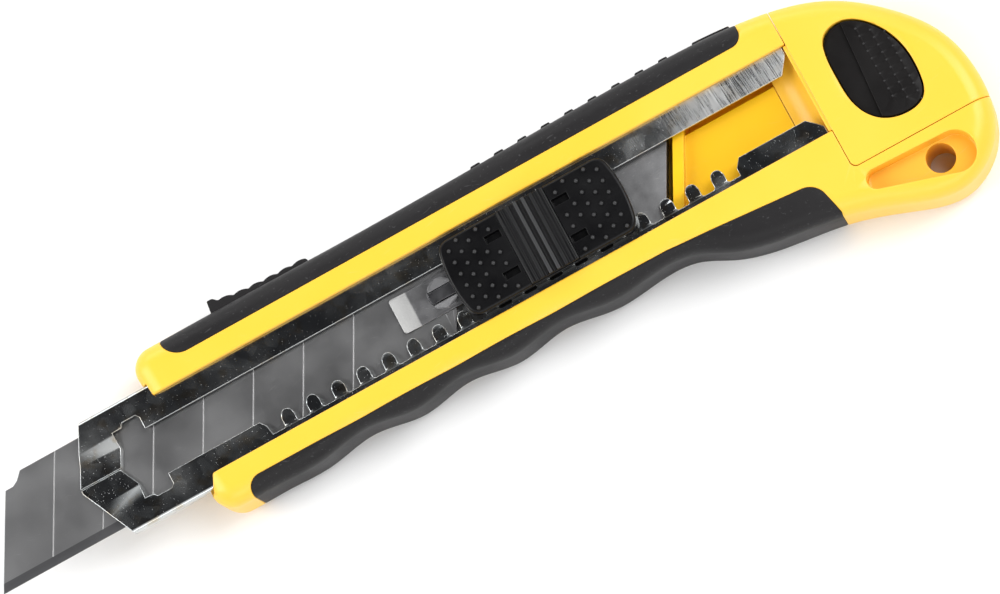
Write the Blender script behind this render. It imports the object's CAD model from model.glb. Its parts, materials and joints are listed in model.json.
import json
import math

import bmesh
import bpy
from mathutils import Matrix, Vector

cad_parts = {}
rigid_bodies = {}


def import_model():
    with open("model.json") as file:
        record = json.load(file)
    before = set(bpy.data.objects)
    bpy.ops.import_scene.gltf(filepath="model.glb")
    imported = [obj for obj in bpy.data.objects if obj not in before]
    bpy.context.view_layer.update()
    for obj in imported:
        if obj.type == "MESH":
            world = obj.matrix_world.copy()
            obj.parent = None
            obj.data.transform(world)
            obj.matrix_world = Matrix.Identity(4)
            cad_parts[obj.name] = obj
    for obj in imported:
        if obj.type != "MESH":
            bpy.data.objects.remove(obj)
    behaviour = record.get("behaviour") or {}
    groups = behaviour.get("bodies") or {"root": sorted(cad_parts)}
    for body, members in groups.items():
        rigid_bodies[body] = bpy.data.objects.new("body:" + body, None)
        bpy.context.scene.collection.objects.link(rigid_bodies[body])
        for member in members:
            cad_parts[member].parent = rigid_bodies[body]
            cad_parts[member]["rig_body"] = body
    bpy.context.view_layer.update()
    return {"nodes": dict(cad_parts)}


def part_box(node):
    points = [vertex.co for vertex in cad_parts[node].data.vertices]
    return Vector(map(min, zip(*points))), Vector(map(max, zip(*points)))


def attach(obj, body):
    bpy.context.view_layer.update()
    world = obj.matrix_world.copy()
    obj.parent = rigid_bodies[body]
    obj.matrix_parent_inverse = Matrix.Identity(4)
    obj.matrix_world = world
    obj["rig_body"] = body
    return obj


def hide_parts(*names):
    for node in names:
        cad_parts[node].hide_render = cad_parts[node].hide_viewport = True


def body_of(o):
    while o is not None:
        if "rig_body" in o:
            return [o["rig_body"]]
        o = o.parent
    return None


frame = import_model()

# Self-loading snap-off utility knife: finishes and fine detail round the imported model.
# Metres. +X runs from the blade's tip to the butt, +Y to the spine, +Z up out of the slider's face.

mm = 0.001

# ---------------------------------------------------------------- Camera
# A long lens looks almost straight down on the slider's face, tipped a little towards the belly,
# and is turned so that the blade points to the lower left.
towards_camera = Vector((math.sin(math.radians(4)), -math.sin(math.radians(12)), 0.976)).normalized()
turned = math.radians(28.95)
knife_right = (Vector((1, 0, 0)) - towards_camera.x * towards_camera).normalized()
knife_up = towards_camera.cross(knife_right)
camera_right = math.cos(turned) * knife_right - math.sin(turned) * knife_up
camera_up = math.sin(turned) * knife_right + math.cos(turned) * knife_up
looked_at = Vector((-0.7, -5.8, 13.0)) * mm
lens = bpy.data.cameras.new("Camera")
lens.lens = 200
lens.sensor_width = 36
seen_width = 172.7 * mm
away = seen_width * lens.lens / lens.sensor_width
camera = bpy.data.objects.new("Camera", lens)
bpy.context.scene.collection.objects.link(camera)
turn = Matrix((camera_right, camera_up, towards_camera)).transposed()
camera.matrix_world = Matrix.Translation(looked_at + away * towards_camera) @ turn.to_4x4()
lens.clip_start, lens.clip_end = 0.1, 10
bpy.context.scene.camera = camera
bpy.context.scene.view_settings.view_transform = "Standard"

# ---------------------------------------------------------------- Studio
# A pale table in a bright tent, with a black card over the knife so that its flat steel reads dark,
# and softboxes at both ends and along both sides.
table_top = bpy.data.meshes.new("Studio_Table")
table_top.from_pydata([(x, y, -0.2 * mm) for x, y in ((-3, -3), (3, -3), (3, 3), (-3, 3))], [], [(0, 1, 2, 3)])
table = bpy.data.objects.new("Studio_Table", table_top)
bpy.context.scene.collection.objects.link(table)


def connect(tree, kind, setting=None, **inputs):
    """A node of that kind with its inputs set or linked; _2= means the third input."""
    node = tree.nodes.new(kind)
    for name, value in (setting or {}).items():
        setattr(node, name, value)
    for name, value in inputs.items():
        socket = node.inputs[int(name[1:])] if name[1:].isdigit() else node.inputs[name.replace("_", " ")]
        if isinstance(value, bpy.types.NodeSocket):
            tree.links.new(value, socket)
        else:
            socket.default_value = value
    return node


def new_finish(name, **look):
    """An empty finish: its tree, its shader, and the piece's own coordinates."""
    material = bpy.data.materials.new(name)
    material.use_nodes = True
    tree = material.node_tree
    tree.nodes.clear()
    shader = connect(tree, "ShaderNodeBsdfPrincipled", None, **look)
    connect(tree, "ShaderNodeOutputMaterial", None, Surface=shader.outputs[0])
    place = connect(tree, "ShaderNodeTexCoord").outputs["Object"]
    return material, tree, shader, place


def blend_colour(tree, share, first, second):
    """A colour between two others."""
    return connect(tree, "ShaderNodeMix", {"data_type": "RGBA"}, _0=share, _6=first, _7=second).outputs[2]


def spread(tree, value, low, high, start=0.0, end=1.0):
    """A value from low..high stretched to start..end and held at its ends."""
    return connect(tree, "ShaderNodeMapRange", None, _0=value, _1=low, _2=high, _3=start, _4=end).outputs[0]


def grain(tree, place, size, detail=2.0, stretch=(1, 1, 1), lean=0.0):
    """Noise whose blobs are about that size, stretched and turned in the flat of the knife."""
    laid = connect(tree, "ShaderNodeMapping", {"vector_type": "TEXTURE"}, Vector=place, Rotation=(0, 0, lean))
    laid.inputs["Scale"].default_value = tuple(size * s for s in stretch)
    noise = connect(tree, "ShaderNodeTexNoise", None, Vector=laid.outputs[0], Scale=1.0, Detail=detail)
    return noise.outputs[0]


paper, tree, shader, place = new_finish("Table_Paper", Roughness=0.9)
paper_tone = blend_colour(tree, grain(tree, place, 25 * mm, 3.0), (0.87, 0.87, 0.865, 1), (0.91, 0.91, 0.91, 1))
tree.links.new(paper_tone, shader.inputs["Base Color"])
table_top.materials.append(paper)

for name, spot, power, size in (
    ("Butt_Softbox", (0.62, 0.10, 0.80), 5.5, (0.42, 0.9)),
    ("Tip_Softbox", (-0.75, 0.15, 0.62), 5.0, (0.5, 0.8)),
    ("Belly_Softbox", (0.05, -0.80, 0.55), 2.4, (1.0, 0.4)),
    ("Spine_Strip", (0.0, 0.80, 0.42), 2.2, (1.1, 0.16)),
):
    lamp = bpy.data.lights.new(name, "AREA")
    lamp.shape = "RECTANGLE"
    lamp.size, lamp.size_y = size
    lamp.energy = power
    light = bpy.data.objects.new(name, lamp)
    bpy.context.scene.collection.objects.link(light)
    light.location = spot
    light.rotation_euler = Vector(spot).to_track_quat("Z", "Y").to_euler()

room = bpy.data.worlds.new("Studio_Room")
bpy.context.scene.world = room
room.use_nodes = True
sky = room.node_tree
sky.nodes.clear()
facing = connect(sky, "ShaderNodeTexCoord").outputs["Generated"]
card_middle = (-0.08, 0.20, 0.976)
nearness = connect(sky, "ShaderNodeVectorMath", {"operation": "DOT_PRODUCT"}, _0=facing, _1=card_middle)
under_card = spread(sky, nearness.outputs["Value"], 0.86, 0.955)
tent = blend_colour(sky, under_card, (0.80, 0.80, 0.80, 1), (0.02, 0.02, 0.022, 1))
glow = connect(sky, "ShaderNodeBackground", None, Color=tent, Strength=1.0)
connect(sky, "ShaderNodeOutputWorld", None, Surface=glow.outputs[0])

# ---------------------------------------------------------------- Housing and end cap
# Two ABS mouldings from spark-eroded tools, yellow through and through; the cap closes the butt.
# Handling leaves hairline scuffs and dull patches, and the moulded edges are slightly rounded.
def sum_up(tree, operation, first, second):
    """Two values joined by one arithmetic step."""
    return connect(tree, "ShaderNodeMath", {"operation": operation}, _0=first, _1=second).outputs[0]


def scuffs(tree, place, length, across, amount):
    """A mask of short hairline scratches that run mostly along the knife."""
    lines = None
    for lean in (0.22, -0.35):
        hair = grain(tree, place, 1.0, 2.0, (length, across, across), lean)
        cut = spread(tree, hair, amount, amount + 0.06)
        lines = cut if lines is None else sum_up(tree, "MAXIMUM", lines, cut)
    return lines


def roughen(tree, shader, layers, under=None):
    """Bumps one over another: (strength, depth in metres, height) for each."""
    for strength, depth, height in layers:
        bump = connect(tree, "ShaderNodeBump", None, Strength=strength, Distance=depth, Height=height)
        if under:
            tree.links.new(under, bump.inputs["Normal"])
        under = bump.outputs[0]
    tree.links.new(under, shader.inputs["Normal"])


def moulded_yellow(name, colour, deep, gloss):
    material, tree, shader, place = new_finish(name, IOR=1.5)
    cloud = grain(tree, place, 22 * mm, 4.0)
    marks = scuffs(tree, place, 7 * mm, 0.22 * mm, 0.70)
    pale = tuple(0.85 * c + 0.12 for c in colour[:3]) + (1,)
    tint = blend_colour(tree, cloud, deep, colour)
    faint = sum_up(tree, "MULTIPLY", marks, 0.4)
    tree.links.new(blend_colour(tree, faint, tint, pale), shader.inputs["Base Color"])
    dull = spread(tree, cloud, 0.3, 0.7, gloss, gloss + 0.12)
    tree.links.new(sum_up(tree, "ADD", dull, sum_up(tree, "MULTIPLY", marks, 0.2)), shader.inputs["Roughness"])
    spark = grain(tree, place, 0.22 * mm)
    sink = grain(tree, place, 7 * mm, 1.0)
    roughen(tree, shader, ((0.2, 0.03 * mm, spark), (0.25, 0.10 * mm, sink)))
    return material


def finished_copy(node, title, finish, rounding, steps=2):
    """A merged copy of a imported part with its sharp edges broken, shown in the part's place."""
    packed = frame["nodes"][node]
    work = bmesh.new()
    work.from_mesh(packed.data)
    bmesh.ops.remove_doubles(work, verts=work.verts, dist=0.0004 * mm)
    flat, corner = math.radians(0.3), math.radians(30)
    bmesh.ops.join_triangles(work, faces=work.faces, angle_face_threshold=flat, angle_shape_threshold=math.pi)
    sharp = [e for e in work.edges if len(e.link_faces) == 2 and e.calc_face_angle(0) > corner]
    bmesh.ops.bevel(
        work, geom=sharp, offset=rounding, offset_type="OFFSET", segments=steps, profile=0.5, affect="EDGES",
        clamp_overlap=False,
    )
    bmesh.ops.triangulate(work, faces=work.faces)
    shape = bpy.data.meshes.new(title)
    work.to_mesh(shape)
    work.free()
    shape.shade_smooth()
    shape.set_sharp_from_angle(angle=math.radians(40))
    shape.materials.append(finish)
    piece = bpy.data.objects.new(title, shape)
    bpy.context.scene.collection.objects.link(piece)
    even = piece.modifiers.new("Even_Shading", "WEIGHTED_NORMAL")
    even.keep_sharp = True
    even.weight = 100
    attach(piece, body_of(packed)[0])
    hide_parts(node)
    return piece


yellow = moulded_yellow("Yellow_ABS", (0.95, 0.56, 0.050, 1), (0.93, 0.52, 0.036, 1), 0.3)
finished_copy("housing", "Housing_Moulding", yellow, 0.2 * mm)
finished_copy("end_cap", "End_Cap_Moulding", yellow, 0.14 * mm)

# ---------------------------------------------------------------- Magazine tray
# The spare blades' tray is moulded from the same ABS with a slicker surface, on the end cap's tail.
tray_yellow = moulded_yellow("Tray_Yellow", (0.95, 0.56, 0.008, 1), (0.93, 0.52, 0.006, 1), 0.24)
finished_copy("magazine_tray", "Tray_Moulding", tray_yellow, 0.12 * mm)

# ---------------------------------------------------------------- Grips
# Black thermoplastic rubber moulded over the spine and the belly in a finely sanded tool.
# It holds dust, and handling leaves pale scuffs on its high spots.
rubber, tree, shader, place = new_finish("Black_Rubber", Specular_IOR_Level=0.22)
cloud = grain(tree, place, 12 * mm, 5.0)
dust = spread(tree, grain(tree, place, 0.5 * mm, 3.0), 0.66, 0.74)
rubs = scuffs(tree, place, 2.4 * mm, 0.3 * mm, 0.70)
tint = blend_colour(tree, cloud, (0.0085, 0.0078, 0.0085, 1), (0.015, 0.014, 0.015, 1))
pale = sum_up(tree, "MULTIPLY", sum_up(tree, "MAXIMUM", dust, rubs), 0.5)
tint = blend_colour(tree, pale, tint, (0.075, 0.074, 0.077, 1))
tree.links.new(tint, shader.inputs["Base Color"])
tree.links.new(spread(tree, cloud, 0.3, 0.7, 0.42, 0.58), shader.inputs["Roughness"])
sanding = grain(tree, place, 0.3 * mm)
sink = grain(tree, place, 4 * mm, 2.0)
roughen(tree, shader, ((0.45, 0.05 * mm, sanding), (0.25, 0.15 * mm, sink)))
finished_copy("spine_grip", "Spine_Grip_Rubber", rubber, 0.22 * mm)
finished_copy("belly_grip", "Belly_Grip_Rubber", rubber, 0.22 * mm)

# ---------------------------------------------------------------- Blade rail
# Zinc-plated sheet steel, blanked and folded; the press leaves bright broken edges and a few specks,
# and the slider has scuffed the upper flange towards the butt.
def rail_finish():
    material, tree, shader, place = new_finish("Rail_Steel", Metallic=1.0)
    along = connect(tree, "ShaderNodeSeparateXYZ", None, Vector=place)
    spangle = connect(tree, "ShaderNodeTexVoronoi", None, Vector=place, Scale=420.0).outputs["Color"]
    flake = connect(tree, "ShaderNodeSeparateColor", None, Color=spangle).outputs[0]
    cloud = grain(tree, place, 9 * mm, 4.0)
    hair = sum_up(tree, "MULTIPLY", scuffs(tree, place, 2.2 * mm, 0.05 * mm, 0.745), 0.6)
    speck = spread(tree, grain(tree, place, 0.22 * mm, 1.0), 0.735, 0.77)
    marks = sum_up(tree, "MAXIMUM", hair, speck)
    rear = spread(tree, along.outputs["X"], 28 * mm, 50 * mm)
    upper = spread(tree, along.outputs["Y"], 2 * mm, 4 * mm)
    worn = sum_up(tree, "MULTIPLY", rear, upper)
    hatch = grain(tree, place, 1.0, 2.0, (0.10 * mm, 5 * mm, 5 * mm), 0.08)
    cool = blend_colour(tree, cloud, (0.50, 0.55, 0.57, 1), (0.66, 0.655, 0.64, 1))
    stain = spread(tree, grain(tree, place, 2.5 * mm, 4.0), 0.52, 0.66)
    cool = blend_colour(tree, sum_up(tree, "MULTIPLY", stain, 0.7), cool, (0.46, 0.40, 0.30, 1))
    cool = blend_colour(tree, sum_up(tree, "MULTIPLY", marks, 0.5), cool, (0.92, 0.92, 0.92, 1))
    across = sum_up(tree, "MULTIPLY", worn, hatch)
    tree.links.new(blend_colour(tree, across, cool, (0.72, 0.72, 0.72, 1)), shader.inputs["Base Color"])
    dull = spread(tree, cloud, 0.35, 0.7, 0.09, 0.2)
    dull = sum_up(tree, "ADD", dull, sum_up(tree, "MULTIPLY", flake, 0.05))
    dull = sum_up(tree, "ADD", dull, sum_up(tree, "MULTIPLY", marks, 0.3))
    brushed = sum_up(tree, "MULTIPLY", worn, spread(tree, hatch, 0.35, 0.6, 0.06, 0.22))
    tree.links.new(sum_up(tree, "ADD", dull, brushed), shader.inputs["Roughness"])
    waves, flakes = (0.15, 0.10 * mm, cloud), (0.12, 0.02 * mm, flake)
    roughen(tree, shader, (waves, flakes, (0.35, 0.03 * mm, across), (0.2, 0.01 * mm, marks)))
    return material


finished_copy("blade_rail", "Folded_Rail", rail_finish(), 0.11 * mm)

# ---------------------------------------------------------------- Blades
# Hardened carbon-steel strip, ground across; the edge is ground again and the score lines are stamped,
# so the lines' floors shine. Five spares lie in the tray.
def blade_finish(name, scored):
    material, tree, shader, place = new_finish(name, Metallic=1.0)
    spots = connect(tree, "ShaderNodeSeparateXYZ", None, Vector=place)
    ground = grain(tree, place, 1.0, 3.0, (0.05 * mm, 3.5 * mm, 3.5 * mm), 0.0)
    cloud = grain(tree, place, 10 * mm, 4.0)
    hair = scuffs(tree, place, 4 * mm, 0.06 * mm, 0.70)
    tint = blend_colour(tree, cloud, (0.27, 0.27, 0.275, 1), (0.33, 0.33, 0.332, 1))
    tint = blend_colour(tree, sum_up(tree, "MULTIPLY", hair, 0.6), tint, (0.5, 0.5, 0.5, 1))
    edge_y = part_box("snap_blade")[0][1]
    grind = spread(tree, spots.outputs["Y"], edge_y + 1.55 * mm, edge_y + 1.62 * mm, 1.0, 0.0)
    tint = blend_colour(tree, grind, tint, (0.15, 0.15, 0.155, 1))
    if scored:
        face_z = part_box("snap_blade")[1][2]
        floor = spread(tree, spots.outputs["Z"], face_z - 0.10 * mm, face_z - 0.02 * mm, 1.0, 0.0)
        lines = sum_up(tree, "MULTIPLY", floor, spread(tree, grind, 0.4, 0.6, 1.0, 0.0))
        tint = blend_colour(tree, lines, tint, (0.42, 0.42, 0.42, 1))
    tree.links.new(tint, shader.inputs["Base Color"])
    dull = sum_up(tree, "ADD", spread(tree, cloud, 0.3, 0.7, 0.3, 0.38), sum_up(tree, "MULTIPLY", hair, 0.15))
    tree.links.new(dull, shader.inputs["Roughness"])
    roughen(tree, shader, ((0.3, 0.012 * mm, ground), (0.1, 0.06 * mm, cloud)))
    return material


edge_break = 0.05 * mm
finished_copy("snap_blade", "Snap_Off_Blade", blade_finish("Blade_Steel", True), edge_break, 1)
spare_steel = blade_finish("Spare_Blade_Steel", False)
for number in range(1, 6):
    title = f"Spare_Blade_{number}_Ground"
    finished_copy(f"spare_blade_{number}", title, spare_steel, edge_break, 1)

# ---------------------------------------------------------------- Slider
# A black acetal shell with a ribbed thumb pad hooked into it and a keeper plate under the rail's lips;
# its two end pads carry staggered rows of low pips, moulded with the shell.
def black_plastic(name, colour, gloss, worn_above):
    material, tree, shader, place = new_finish(name, Specular_IOR_Level=0.2)
    cloud = grain(tree, place, 6 * mm, 4.0)
    rubs = scuffs(tree, place, 2.5 * mm, 0.12 * mm, 0.71)
    pale = tuple(c + 0.02 for c in colour[:3]) + (1,)
    tint = blend_colour(tree, cloud, colour, tuple(1.6 * c for c in colour[:3]) + (1,))
    tint = blend_colour(tree, sum_up(tree, "MULTIPLY", rubs, 0.6), tint, pale)
    height = connect(tree, "ShaderNodeSeparateXYZ", None, Vector=place).outputs["Z"]
    tops = spread(tree, height, worn_above, worn_above + 0.14 * mm, 0.0, 0.75)
    tree.links.new(blend_colour(tree, tops, tint, (0.055, 0.055, 0.057, 1)), shader.inputs["Base Color"])
    tree.links.new(spread(tree, cloud, 0.3, 0.7, gloss, gloss + 0.14), shader.inputs["Roughness"])
    spark = grain(tree, place, 0.12 * mm)
    sink = grain(tree, place, 3 * mm, 2.0)
    roughen(tree, shader, ((0.3, 0.02 * mm, spark), (0.3, 0.08 * mm, sink)))
    return material


slider_low, slider_high = (Vector(p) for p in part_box("slider_shell"))
pad_z = slider_high.z
rib_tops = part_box("thumb_grip")[1][2] - 0.16 * mm
slider_black = black_plastic("Slider_Plastic", (0.0026, 0.0026, 0.0030, 1), 0.26, pad_z + 0.2 * mm)
thumb_black = black_plastic("Thumb_Pad_Plastic", (0.0026, 0.0026, 0.0030, 1), 0.26, rib_tops)
finished_copy("slider_shell", "Slider_Body_Moulding", slider_black, 0.12 * mm)
finished_copy("thumb_grip", "Thumb_Pad", thumb_black, 0.12 * mm)
finished_copy("slider_base", "Slider_Keeper_Plate", slider_black, 0.08 * mm)


def tree_input(tree, name, kind, value):
    """A named input of a geometry tree, with its starting value."""
    socket = tree.interface.new_socket(name=name, in_out="INPUT", socket_type=kind)
    socket.default_value = value
    return socket


def pip_field_tree():
    """Staggered columns of low round pips on a pad, without those over the hook holes."""
    tree = bpy.data.node_groups.new("Pip_Field", "GeometryNodeTree")
    tree.interface.new_socket(name="Geometry", in_out="OUTPUT", socket_type="NodeSocketGeometry")
    tree_input(tree, "Columns", "NodeSocketInt", 5)
    tree_input(tree, "Rows", "NodeSocketInt", 6)
    tree_input(tree, "Column Pitch", "NodeSocketFloat", 1.95 * mm)
    tree_input(tree, "Row Pitch", "NodeSocketFloat", 2.25 * mm)
    tree_input(tree, "Middle", "NodeSocketVector", (0, 0, 0))
    tree_input(tree, "Pip Radius", "NodeSocketFloat", 0.48 * mm)
    tree_input(tree, "Pip Height", "NodeSocketFloat", 0.38 * mm)
    tree_input(tree, "Hole X", "NodeSocketFloat", 0.0)
    tree_input(tree, "Hole Y", "NodeSocketFloat", 3.6 * mm)
    tree_input(tree, "Finish", "NodeSocketMaterial", None)
    given = tree.nodes.new("NodeGroupInput").outputs
    wide = sum_up(tree, "MULTIPLY", given["Column Pitch"], sum_up(tree, "SUBTRACT", given["Columns"], 1.0))
    high = sum_up(tree, "MULTIPLY", given["Row Pitch"], sum_up(tree, "SUBTRACT", given["Rows"], 1.0))
    grid = connect(tree, "GeometryNodeMeshGrid", None, Size_X=wide, Size_Y=high)
    tree.links.new(given["Columns"], grid.inputs["Vertices X"])
    tree.links.new(given["Rows"], grid.inputs["Vertices Y"])
    # The grid counts its points column by column, so every second column is moved by half a row.
    number = tree.nodes.new("GeometryNodeInputIndex").outputs[0]
    column = sum_up(tree, "FLOOR", sum_up(tree, "DIVIDE", number, given["Rows"]), 0.0)
    odd = sum_up(tree, "MODULO", column, 2.0)
    half_row = sum_up(tree, "MULTIPLY", given["Row Pitch"], 0.5)
    shift = sum_up(tree, "MULTIPLY", sum_up(tree, "SUBTRACT", odd, 0.5), half_row)
    step = connect(tree, "ShaderNodeCombineXYZ", None, Y=shift)
    moved = connect(tree, "ShaderNodeVectorMath", {"operation": "ADD"}, _0=step.outputs[0], _1=given["Middle"])
    laid = connect(tree, "GeometryNodeSetPosition", None, Geometry=grid.outputs[0], Offset=moved.outputs[0])
    position = tree.nodes.new("GeometryNodeInputPosition").outputs[0]
    spot = connect(tree, "ShaderNodeSeparateXYZ", None, Vector=position)
    from_x = sum_up(tree, "ABSOLUTE", sum_up(tree, "SUBTRACT", spot.outputs["X"], given["Hole X"]), 0.0)
    side = sum_up(tree, "ABSOLUTE", spot.outputs["Y"], 0.0)
    from_y = sum_up(tree, "ABSOLUTE", sum_up(tree, "SUBTRACT", side, given["Hole Y"]), 0.0)
    nearer = {"data_type": "FLOAT", "operation": "LESS_THAN"}
    over_x = connect(tree, "FunctionNodeCompare", nearer, _0=from_x, _1=2.1 * mm)
    over_y = connect(tree, "FunctionNodeCompare", nearer, _0=from_y, _1=1.2 * mm)
    both = {"operation": "AND"}
    over = connect(tree, "FunctionNodeBooleanMath", both, _0=over_x.outputs[0], _1=over_y.outputs[0])
    left = connect(tree, "GeometryNodeDeleteGeometry", {"domain": "POINT"}, Geometry=laid.outputs[0])
    tree.links.new(over.outputs[0], left.inputs["Selection"])
    pip = connect(tree, "GeometryNodeMeshUVSphere", None, Segments=12, Rings=6, Radius=given["Pip Radius"])
    squat = sum_up(tree, "DIVIDE", given["Pip Height"], given["Pip Radius"])
    flat = connect(tree, "ShaderNodeCombineXYZ", None, X=1.0, Y=1.0, Z=squat)
    placed = connect(tree, "GeometryNodeInstanceOnPoints", None, Points=left.outputs[0], Scale=flat.outputs[0])
    tree.links.new(pip.outputs[0], placed.inputs["Instance"])
    real = connect(tree, "GeometryNodeRealizeInstances", None, Geometry=placed.outputs[0])
    soft = connect(tree, "GeometryNodeSetShadeSmooth", None, Geometry=real.outputs[0])
    done = connect(tree, "GeometryNodeSetMaterial", None, Geometry=soft.outputs[0], Material=given["Finish"])
    out = tree.nodes.new("NodeGroupOutput")
    tree.links.new(done.outputs[0], out.inputs[0])
    return tree


def grown(title, tree, body, slot, **values):
    """A geometry tree run once with these inputs and baked to a plain piece on that body."""
    holder = bpy.data.objects.new(title + "_Holder", bpy.data.meshes.new(title + "_Holder"))
    bpy.context.scene.collection.objects.link(holder)
    maker = holder.modifiers.new("Maker", "NODES")
    maker.node_group = tree
    for item in tree.interface.items_tree:
        if item.in_out == "INPUT" and item.name.replace(" ", "_") in values:
            maker[item.identifier] = values[item.name.replace(" ", "_")]
    view_layer = bpy.context.evaluated_depsgraph_get()
    shape = bpy.data.meshes.new_from_object(holder.evaluated_get(view_layer))
    bpy.data.objects.remove(holder)
    shape.name = title
    piece = bpy.data.objects.new(title, shape)
    bpy.context.scene.collection.objects.link(piece)
    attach(piece, body)
    return piece


pips = pip_field_tree()
front_pad = (slider_low.x + 6.3 * mm, 0.0, pad_z - 0.02 * mm)
rear_pad = (slider_low.x + 27.5 * mm, 0.0, pad_z - 0.02 * mm)
front_hole = slider_low.x + 10.3 * mm
rear_hole = slider_low.x + 23.6 * mm
grown("Front_Pips", pips, "slider", "slider_plastic", Middle=front_pad, Finish=slider_black, Hole_X=front_hole)
grown(
    "Rear_Pips", pips, "slider", "slider_plastic", Middle=rear_pad, Finish=slider_black, Hole_X=rear_hole,
    Column_Pitch=2.05 * mm,
)

# ---------------------------------------------------------------- Release button
# A black acetal button in the end cap; its thumb part is dished and pipped, and handling has greyed it.
pip_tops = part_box("release_button")[1][2] - 0.13 * mm
button_black = black_plastic("Button_Plastic", (0.0040, 0.0034, 0.0034, 1), 0.32, pip_tops)
finished_copy("release_button", "Release_Button_Moulding", button_black, 0.06 * mm)

# ---------------------------------------------------------------- Blade lifter
# The plate under the spare blades, pushed up by the lifter's spring, in the button's black plastic.
finished_copy("blade_lifter", "Blade_Lifter_Plate", button_black, 0.08 * mm)

# ---------------------------------------------------------------- Blade clip, stack keeper and latch
# Stamped spring steel with a grey phosphate grain; the clip's turned front lip is bright with wear.
def stamped_finish(name, colour, gloss, worn_from=None):
    material, tree, shader, place = new_finish(name, Metallic=1.0)
    fine = grain(tree, place, 0.16 * mm, 2.0)
    cloud = grain(tree, place, 3 * mm, 4.0)
    hair = scuffs(tree, place, 1.6 * mm, 0.05 * mm, 0.69)
    light = tuple(min(1.0, 1.35 * c) for c in colour[:3]) + (1,)
    tint = blend_colour(tree, fine, colour, light)
    tint = blend_colour(tree, sum_up(tree, "MULTIPLY", hair, 0.7), tint, (0.9, 0.9, 0.9, 1))
    dull = spread(tree, cloud, 0.3, 0.7, gloss, gloss + 0.12)
    if worn_from is not None:
        spots = connect(tree, "ShaderNodeSeparateXYZ", None, Vector=place)
        lip = spread(tree, spots.outputs["X"], worn_from, worn_from + 0.3 * mm, 1.0, 0.0)
        bare = blend_colour(tree, fine, (0.36, 0.36, 0.36, 1), (0.56, 0.56, 0.55, 1))
        tint = blend_colour(tree, lip, tint, bare)
        dull = sum_up(tree, "ADD", dull, sum_up(tree, "MULTIPLY", lip, 0.12))
    tree.links.new(tint, shader.inputs["Base Color"])
    tree.links.new(dull, shader.inputs["Roughness"])
    roughen(tree, shader, ((0.4, 0.015 * mm, fine), (0.2, 0.05 * mm, cloud)))
    return material


clip_low = Vector(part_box("blade_clip")[0])
clip_steel = stamped_finish("Clip_Steel", (0.19, 0.19, 0.195, 1), 0.3, clip_low.x + 3.1 * mm)
finished_copy("blade_clip", "Blade_Clip_Spring", clip_steel, 0.07 * mm)
plate_steel = stamped_finish("Plate_Steel", (0.26, 0.26, 0.265, 1), 0.36)
finished_copy("stack_keeper", "Stack_Keeper_Leaf", plate_steel, 0.06 * mm)
finished_copy("cap_latch", "Cap_Latch_Leaf", plate_steel, 0.06 * mm)

# ---------------------------------------------------------------- Pin, rivets and springs
# Turned pin and clinched rivets in dark oiled steel, and drawn spring wire and leaf with a bright skin.
def wire_finish(name, colour, gloss):
    material, tree, shader, place = new_finish(name, Metallic=1.0)
    cloud = grain(tree, place, 1.5 * mm, 4.0)
    drawn = grain(tree, place, 1.0, 2.0, (2.0 * mm, 0.05 * mm, 0.05 * mm))
    oiled = tuple(0.75 * c for c in colour[:3]) + (1,)
    tree.links.new(blend_colour(tree, cloud, colour, oiled), shader.inputs["Base Color"])
    tree.links.new(spread(tree, cloud, 0.3, 0.7, gloss, gloss + 0.12), shader.inputs["Roughness"])
    roughen(tree, shader, ((0.3, 0.01 * mm, drawn),))
    return material


dark_steel = wire_finish("Pin_Steel", (0.20, 0.20, 0.21, 1), 0.25)
spring_steel = wire_finish("Spring_Steel", (0.66, 0.66, 0.67, 1), 0.18)
finished_copy("blade_pin", "Blade_Pin_Turned", dark_steel, 0.06 * mm)
finished_copy("slider_rivets", "Slider_Rivets_Clinched", dark_steel, 0.06 * mm)
finished_copy("lock_spring", "Lock_Spring_Leaf", spring_steel, 0.05 * mm)


def dress(name, finish):
    """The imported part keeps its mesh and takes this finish."""
    part = frame["nodes"][name]
    part.data.materials.clear()
    part.data.materials.append(finish)


dress("lifter_spring", spring_steel)
dress("button_spring", spring_steel)
